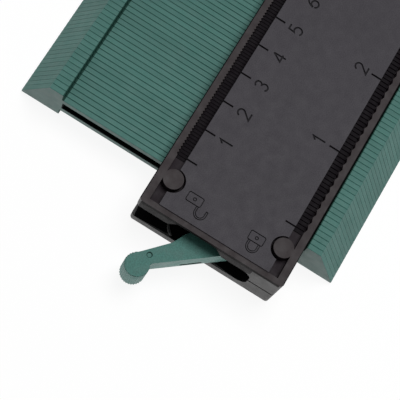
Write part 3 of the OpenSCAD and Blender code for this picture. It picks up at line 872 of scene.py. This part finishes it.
@dataclass
class Housing:
    """Both covers: engraved panel, rim, insides painted with shade, and the toothed racks in the two
    channels.
    """

    channel_in: float = 17.05
    channel_out: float = 19.95
    channel_floor: float = 15.1
    rim_drop: float = 0.4
    rib_low: tuple = (-79.4, 9.3, 3.05)
    rib_high: tuple = (-76.5, 12.3, 4.5)
    channel_from: float = 13.0
    scale_l: float = 127.0
    rack_cm: tuple = (1.0, 0.2)
    rack_inch: tuple = (1.27, 0.32)
    rack_x: tuple = (0.0, 0.30, 0.42, 0.88)
    rack_z: tuple = (1.0, 1.0, 0.0, 0.0)
    rack_lift: float = 0.04
    rack_gap: float = 0.02
    rack_base: float = 0.05
    skin: float = 0.35
    smooth: float = 28.0
    brow_z: float = 15.95
    lip_y: float = -13.4
    lip_z: float = 12.3
    rim_skin: float = 0.15
    chamfer: float = 0.2
    panel_up: float = 0.1
    mark_d: float = 0.35
    mark_widest: float = 0.8
    mark_gap: float = 0.05
    mark_over: float = 1.0
    near_by: float = 0.02

    def inside(self, middle: np.ndarray, node: str) -> np.ndarray:
        """Which faces of a cover lie deeper than its outer skin, seen from the sides."""
        half = np.array(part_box(node)[1])[:2] / MM - self.skin
        return np.all(np.abs(middle[:, :2]) < half, axis=1)

    def part_end(self, mesh: Mesh) -> None:
        """Cuts the near end face along the borders of its lip and brow, so that each has its own faces for
        its painted shade.
        """
        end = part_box("front_cover")[0].x + self.near_by * MM
        borders = (((0.0, 0.0, self.brow_z), (0, 0, 1)), ((0.0, self.lip_y, 0.0), (0, 1, 0)))
        with opened(mesh) as work:
            for place, normal in borders:
                split(work, [f for f in work.faces if all(v.co.x < end for v in f.verts)], place, normal)

    def part_marks(self, mesh: Mesh) -> np.ndarray:
        """Cuts the floor of every long mark into two strips along the mark.

        Returns:
            The X of the marks' middle lines.
        """
        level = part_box("front_cover")[1].z / MM - self.mark_d
        floors = {}
        with opened(mesh) as work:
            for face in work.faces:
                x, _, z = np.array([v.co for v in face.verts]).T / MM
                if np.abs(z - level).max() < self.near_by and np.ptp(x) < self.mark_widest:
                    floors.setdefault(round((x.min() + x.max()) / 2, 2), []).append(face)
            for middle, faces in floors.items():
                split(work, faces, (middle, 0.0, 0.0), (1, 0, 0))
        return np.array(sorted(floors))

    def zone_marks(self, middle: np.ndarray, marks: np.ndarray, lines: np.ndarray,
                   number: np.ndarray) -> None:
        """Paints shadow on the marks' walls and on the far half of each floor. The near half of each floor
        keeps the panel's colour.

        Args:
            middle: Middle of every face of the front cover.
            marks: Which faces belong to the marks.
            lines: X of the marks' middle lines.
            number: Finish number of every face, changed in place.
        """
        apart = middle[:, :1] - lines[None, :]
        off = apart[np.arange(len(middle)), np.abs(apart).argmin(axis=1)]
        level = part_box("front_cover")[1].z / MM - self.mark_d
        # Painted shadow on every face of the marks. Then the near half of each floor gets the panel's
        # colour back.
        number[marks] = Zone.MARK.value
        number[marks & (np.abs(middle[:, 2] - level) < self.near_by) & (off < 0.0)] = Zone.PANEL.value

    def zone_front(self, mesh: Mesh, lines: np.ndarray) -> None:
        """Gives every face of the front cover the finish of its zone, apart from the engraved figures.

        Args:
            mesh: The front cover.
            lines: X of the long marks' middle lines.
        """
        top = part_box("front_cover")[1].z / MM
        middle = face_centres(mesh)
        y, z = np.abs(middle[:, 1]), middle[:, 2]
        number = np.zeros(len(middle), np.int32)
        mesh.polygons.foreach_get("material_index", number)
        # Faces cut by the engraving carry the darker finish that paints shade in the grooves.
        drawn = number == Zone.ENGRAVED.value
        rim = top - self.rim_drop
        # Faces inside the outer skin and below the rim get painted shade.
        deep_shade = self.inside(middle, "front_cover") & (z < rim - self.skin)
        end, side = np.array(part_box("front_cover"))[:, :2] / MM
        near = middle[:, 0] < end[0] + self.near_by
        # Painted light: faces start with the lighter side copy of the plastic.
        number[:] = Zone.SIDE.value
        # Painted shade on the near end face above the lever's slot.
        number[near & (middle[:, 1] > self.lip_y) & (z > self.lip_z)] = Zone.LIP.value
        # Painted shade on the top band of the near end face.
        number[near & (z > self.brow_z)] = Zone.BROW.value
        number[z > rim - self.rim_skin] = Zone.RIM.value
        # Painted shadow on the chamfers along both long edges, for the dark gap beside the blades.
        number[(y > side[1] - self.chamfer) & (z > rim - self.chamfer)] = Zone.MARK.value
        number[z > rim + self.panel_up] = Zone.PANEL.value
        number[deep_shade] = Zone.INNER.value
        # Painted shade in the two channels beside the panel.
        channel = (z > self.channel_floor - self.skin / 2) & (y > self.channel_from)
        number[deep_shade & channel] = Zone.CHANNEL.value
        marks = (z < top - self.near_by) & (z > rim) & (y < self.channel_in - self.mark_gap)
        marks &= np.abs(middle[:, 0]) < self.scale_l / 2 + self.mark_over
        self.zone_marks(middle, marks, lines, number)
        number[drawn] = Zone.ENGRAVED.value
        paint(mesh, number)

    def front(self, finishes: dict) -> None:
        """Engraves a copy of the front cover, with a finish for each zone."""
        obj = clean_copy("front_cover", "front_cover_engraved", *(finishes[zone] for zone in Zone))
        self.part_end(obj.data)
        lines = self.part_marks(obj.data)
        engraving = Engraving(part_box("front_cover")[1].z / MM)
        # The cut faces take the darker finish that paints shade in the engraved grooves.
        carve(obj, engraving.cutter(finishes[Zone.ENGRAVED]), "TRANSFER")
        self.zone_front(obj.data, lines)
        smooth_by_angle(obj.data, self.smooth)
        ride(obj, Body.HOUSING.value, Slot.BLACK, "front_cover")

    def back(self, finishes: dict) -> None:
        """Gives the back cover a lighter outer finish that paints the light falling on it, and insides
        painted with shade.
        """
        # The back cover's outer faces get the lighter copy that paints light, and its insides get painted
        # shade.
        obj = clean_copy("back_cover", "back_cover_moulded", finishes[Zone.SIDE], finishes[Zone.INNER])
        middle = face_centres(obj.data)
        low, high = np.array(self.rib_low), np.array(self.rib_high)
        rib = np.all((middle > low) & (middle < high), axis=1)
        # Faces inside the back cover, apart from the arc rib, get painted shade.
        deep_shade = self.inside(middle, "back_cover") & (middle[:, 2] > self.skin) & ~rib
        paint(obj.data, deep_shade)
        smooth_by_angle(obj.data, self.smooth)
        ride(obj, Body.HOUSING.value, Slot.BLACK, "back_cover")

    def build(self, finishes: dict) -> None:
        """Makes both covers and lays the racks into the channels."""
        self.front(finishes)
        self.back(finishes)
        # The racks are near-black, which paints the shade of the channels they lie in.
        teeth = RACK_BLACK_PAINTED_SHADE.material()
        self.rack("channel_rack_cm", *self.rack_cm, 1.0, teeth)
        self.rack("channel_rack_inch", *self.rack_inch, -1.0, teeth)

    def rack(self, name: str, step: float, height: float, side: float, finish: Material) -> None:
        """A row of teeth across a channel's floor: a trapezoid wave along X, carried across the channel.

        Args:
            name: Name of the piece.
            step: Spacing of the teeth.
            height: Height of the teeth.
            side: +1 on the centimetre side and -1 on the inch side.
            finish: Finish of the rack.
        """
        count = int(round(self.scale_l / step))
        x = (np.arange(count)[:, None] * step + np.array(self.rack_x) * step - self.scale_l / 2).ravel()
        z = np.tile(np.array(self.rack_z) * height + self.channel_floor + self.rack_lift, count)
        low = np.full(len(x), self.channel_floor - self.rack_base)
        near = np.full(len(x), side * (self.channel_in + self.rack_gap))
        far = np.full(len(x), side * (self.channel_out - self.rack_gap))
        rows = [np.column_stack([x, *row]) for row in ((near, z), (far, z), (far, low), (near, low))]
        rings = np.stack(rows, axis=1).reshape(-1, 3)
        ride(piece(name, rings, bar_faces(len(rows), len(x)), finish), Body.HOUSING.value, Slot.BLACK)


@dataclass
class CoverScrews:
    """Pan-head screws that are driven from the back, with a cross recess in each low dome."""

    head_r: float = 2.7
    head_h: float = 1.7
    shank_r: float = 1.45
    dome: float = 0.4
    dome_at: tuple = (0.15, 0.35, 0.55, 0.75, 0.9, 1.0)
    cross_l: float = 1.6
    cross_w: float = 0.4
    cross_d: float = 1.0
    cross_taper: float = 0.6
    cross_over: float = 0.2
    smooth: float = 30.0
    segments: int = 36

    def body(self, x: float, y: float, low: float, high: float) -> tuple[np.ndarray, list]:
        """One screw turned from its profile.

        Args:
            x: Its axis.
            y: Its axis.
            low: Height of the dome's middle.
            high: Height of the shank's end.

        Returns:
            Corners and faces.
        """
        r = self.head_r * np.array(self.dome_at)
        dome = np.column_stack([r, low + self.dome * (r / self.head_r) ** 2])
        shoulder = low + self.head_h
        shank = [(self.head_r, shoulder), (self.shank_r, shoulder), (self.shank_r, high)]
        profile = np.vstack([dome, shank])
        turn = np.linspace(0.0, 2.0 * np.pi, self.segments, endpoint=False)
        rings = [np.column_stack([x + s * np.cos(turn), y + s * np.sin(turn), np.full(len(turn), z)])
                 for s, z in profile]
        return np.concatenate(rings), bar_faces(self.segments, len(rings))

    def cross(self, x: float, y: float, low: float) -> list:
        """The cutter of one cross recess.

        Args:
            x: Its axis.
            y: Its axis.
            low: Height of the dome's middle.

        Returns:
            Corners and faces of two tapered bars.
        """
        bars = []
        for a, b in ((self.cross_l, self.cross_w), (self.cross_w, self.cross_l)):
            square = np.array([(a, b), (-a, b), (-a, -b), (a, -b)])
            ends = ((1.0, low - self.cross_over), (self.cross_taper, low + self.cross_d))
            rows = [np.column_stack([k * square + (x, y), np.full(len(square), z)]) for k, z in ends]
            bars.append((np.concatenate(rows), bar_faces(len(square), len(rows))))
        return bars

    def build(self, finish: Material) -> None:
        """Makes all four screws as one piece."""
        low, high = (np.array(corner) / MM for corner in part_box("cover_screws"))
        axes = [(x, y) for x in (low[0] + self.head_r, high[0] - self.head_r)
                for y in (low[1] + self.head_r, high[1] - self.head_r)]
        screws = join([self.body(*axis, low[2], high[2]) for axis in axes])
        crosses = join([bar for axis in axes for bar in self.cross(*axis, low[2])])
        obj = piece("cover_screws_crossed", *screws, finish)
        carve(obj, piece("cross_cutter", *crosses, finish))
        smooth_by_angle(obj.data, self.smooth)
        ride(obj, Body.HOUSING.value, Slot.STEEL, "cover_screws")


@dataclass
class PlainNodes:
    """CAD nodes whose shape is right and that only get a finish."""

    finishes: dict

    def dress(self) -> None:
        """Gives every listed node its material."""
        for node, finish in self.finishes.items():
            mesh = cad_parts[node].data
            mesh.materials.clear()
            mesh.materials.append(finish)
            LOG.info("%s: dressed", node)


@dataclass
class Studio:
    """White floor and surroundings, one soft lamp and the camera at the photograph's angle."""

    camera_mm: tuple = (-206.68, 15.28, 392.43)
    camera_turn: tuple = (16.59, -11.152, -59.906)
    focal_px: float = 1500.0
    frame_px: float = 400.0
    sensor_mm: float = 36.0
    near_m: float = 0.01
    floor_m: float = 3.0
    floor_grey: tuple = (0.9, 0.9, 0.9, 1.0)
    floor_rough: float = 0.9
    glow: float = 1.06
    glow_share: float = 0.85
    ambient: float = 0.15
    lamp_at: tuple = (0.22, -0.06, 0.95)
    lamp_aim: tuple = (-0.04, 0.0, 0.0)
    lamp_m: float = 0.5
    lamp_w: float = 6.2

    def camera(self) -> None:
        """Sets the camera where the scale marks of the photograph put it."""
        data = bpy.data.cameras.new("photo_camera")
        data.sensor_width = self.sensor_mm
        data.sensor_fit = "HORIZONTAL"
        data.lens = self.sensor_mm * self.focal_px / self.frame_px
        data.clip_start = self.near_m
        obj = bpy.data.objects.new("photo_camera", data)
        obj.location = Vector(self.camera_mm) * MM
        obj.rotation_euler = Euler([math.radians(a) for a in self.camera_turn])
        bpy.context.scene.collection.objects.link(obj)
        bpy.context.scene.camera = obj

    def floor(self) -> None:
        """A white floor that is lit from below, as on a light table, and keeps a faint shadow."""
        n = Nodes("studio_floor")
        n.shader.inputs["Base Color"].default_value = self.floor_grey
        n.shader.inputs["Roughness"].default_value = self.floor_rough
        n.shader.inputs["Specular IOR Level"].default_value = 0.0
        white = n.add("ShaderNodeEmission", {"Color": WHITE, "Strength": self.glow}).outputs[0]
        shares = {0: self.glow_share, 1: n.shader.outputs[0], 2: white}
        mixed = n.add("ShaderNodeMixShader", shares).outputs[0]
        n.feed(n.tree.nodes["Material Output"].inputs["Surface"], mixed)
        side = self.floor_m / 2 / MM
        corners = np.array([[-side, -side, 0.0], [side, -side, 0.0], [side, side, 0.0], [-side, side, 0.0]])
        piece("studio_floor", corners, [[0, 1, 2, 3]], n.material)

    def world(self) -> None:
        """Even white surroundings: full white to the camera and in reflections, softer as light."""
        world = bpy.data.worlds.new("studio_world")
        bpy.context.scene.world = world
        world.use_nodes = True
        tree = world.node_tree
        light = tree.nodes["Background"]
        light.inputs["Color"].default_value = WHITE
        light.inputs["Strength"].default_value = self.ambient
        white = tree.nodes.new("ShaderNodeBackground")
        white.inputs["Strength"].default_value = 1.0
        path = tree.nodes.new("ShaderNodeLightPath")
        mix = tree.nodes.new("ShaderNodeMixShader")
        seen = path.outputs["Is Camera Ray"]
        for kind in ("Is Glossy Ray", "Is Transmission Ray"):
            both = tree.nodes.new("ShaderNodeMath")
            both.operation = "MAXIMUM"
            tree.links.new(seen, both.inputs[0])
            tree.links.new(path.outputs[kind], both.inputs[1])
            seen = both.outputs[0]
        tree.links.new(seen, mix.inputs[0])
        tree.links.new(light.outputs[0], mix.inputs[1])
        tree.links.new(white.outputs[0], mix.inputs[2])
        tree.links.new(mix.outputs[0], tree.nodes["World Output"].inputs["Surface"])

    def lamp(self) -> None:
        """One square soft box over the object."""
        data = bpy.data.lights.new("overhead_box", "AREA")
        data.size = self.lamp_m
        data.energy = self.lamp_w
        obj = bpy.data.objects.new("overhead_box", data)
        obj.location = self.lamp_at
        aim = Vector(self.lamp_aim) - Vector(self.lamp_at)
        obj.rotation_euler = aim.to_track_quat("-Z", "Y").to_euler()
        bpy.context.scene.collection.objects.link(obj)

    def build(self) -> None:
        """Sets up the whole studio."""
        bpy.context.scene.view_settings.view_transform = "Standard"
        self.camera()
        self.floor()
        self.world()
        self.lamp()


def main() -> None:
    """Builds the studio and every sub-assembly in order."""
    logging.basicConfig(level=logging.INFO, format="%(name)s %(message)s")
    Studio().build()
    steel = STEEL.material()
    finishes = {Zone.PANEL: PANEL_BLACK, Zone.ENGRAVED: ENGRAVED_BLACK_PAINTED_SHADE, Zone.RIM: RIM_BLACK,
                Zone.CHANNEL: CHANNEL_BLACK_PAINTED_SHADE, Zone.INNER: INNER_BLACK_PAINTED_SHADE, Zone.SIDE: SIDE_BLACK_PAINTED_LIGHT,
                Zone.MARK: PAINTED_SHADOW_BLACK, Zone.LIP: LIP_BLACK_PAINTED_SHADE, Zone.BROW: BROW_BLACK_PAINTED_SHADE}
    finishes = {zone: finish.material() for zone, finish in finishes.items()}
    BladeStack().build(*(f.material() for f in (BLADE_GREEN, BLADE_SLOT_PAINTED_SHADE, BLADE_FACE_PAINTED_SHEEN, BLADE_FOOT_PAINTED_SHADOW)))
    Housing().build(finishes)
    CoverScrews().build(steel)
    # The lever's slit takes the painted shade of the insides.
    LockLever().build(LEVER_GREEN.material(), finishes[Zone.INNER], LEVER_SIDE_PAINTED_LIGHT.material(),
                      LEVER_DIMPLE_PAINTED_SHADE.material())
    # The clamp plate inside the body gets the painted shade of the insides.
    PlainNodes({"clamp_plate": finishes[Zone.INNER], "guide_bar_cm": steel, "guide_bar_inch": steel,
                "lever_pin": steel, "end_plate": steel, "tension_screws": steel, "tension_nuts": steel,
                "end_cushion": RUBBER.material()}).dress()


if __name__ == "__main__":
    main()
